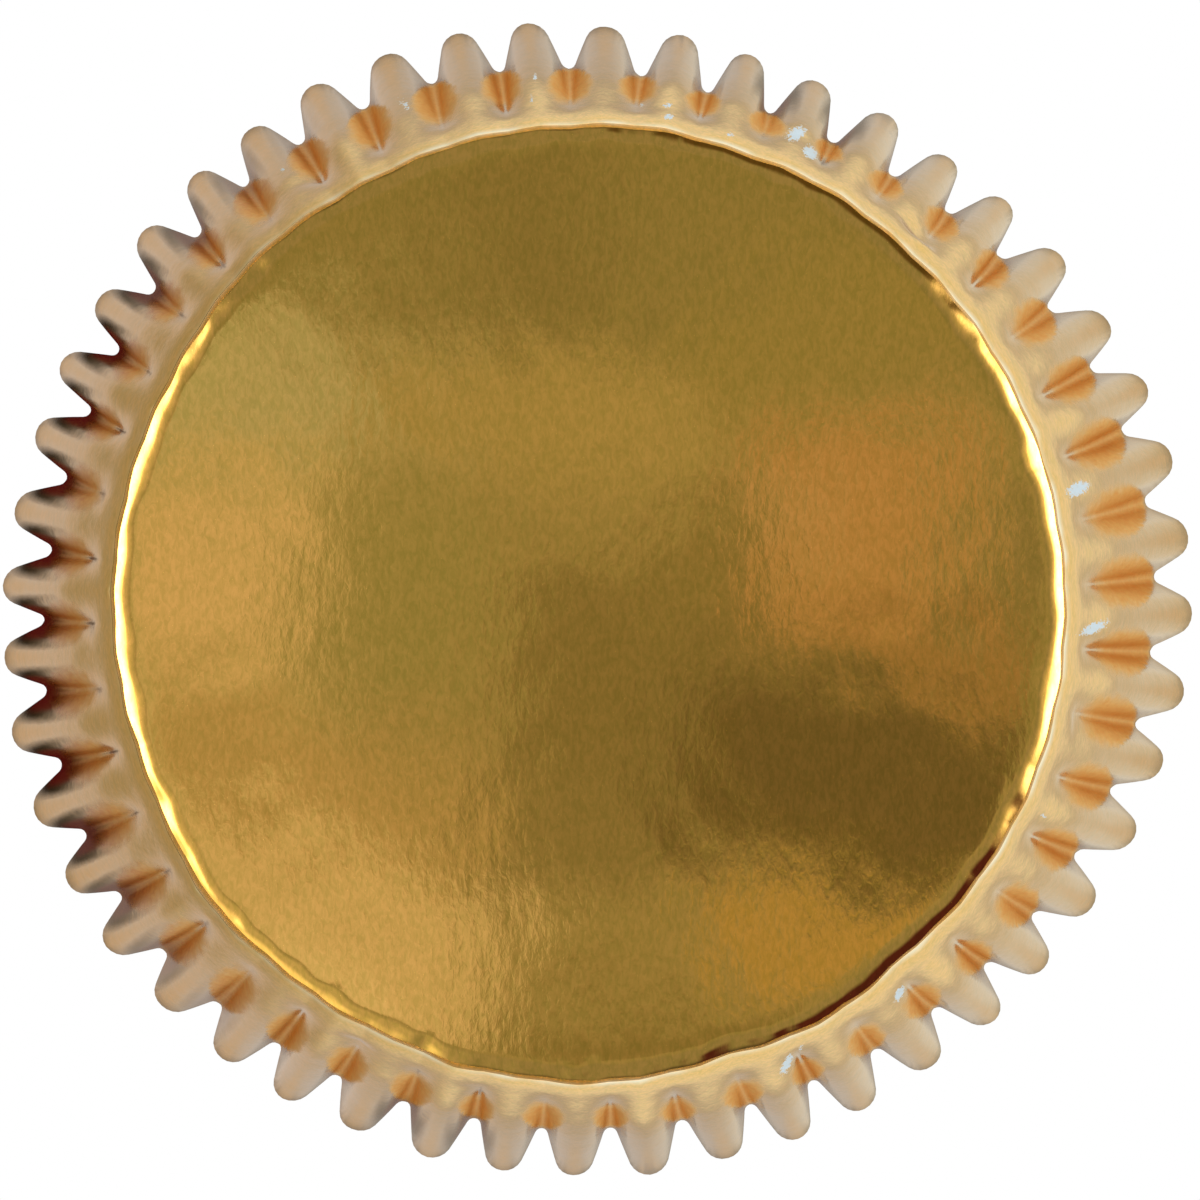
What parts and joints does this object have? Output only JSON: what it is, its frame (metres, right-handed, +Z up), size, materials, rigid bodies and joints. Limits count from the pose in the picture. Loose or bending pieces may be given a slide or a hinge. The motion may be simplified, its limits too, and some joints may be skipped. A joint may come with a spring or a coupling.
{
  "type": "cupcake liner",
  "caption": "Pleated foil-faced paper cup with a flat round base and an open fluted rim, used to hold a cupcake while it bakes.",
  "frame": {"origin": "middle of the underside of the flat base", "axes": "+Z up out of the mouth, -Z out of the base; X and Y lie in the base"},
  "size_m": [0.0727, 0.0705, 0.032],
  "materials": {
    "foil_paper": "gold lacquered foil outside, plain greaseproof paper inside"
  },
  "bodies": {
    "root": {"liner": "foil_paper"}
  },
  "joints": []
}
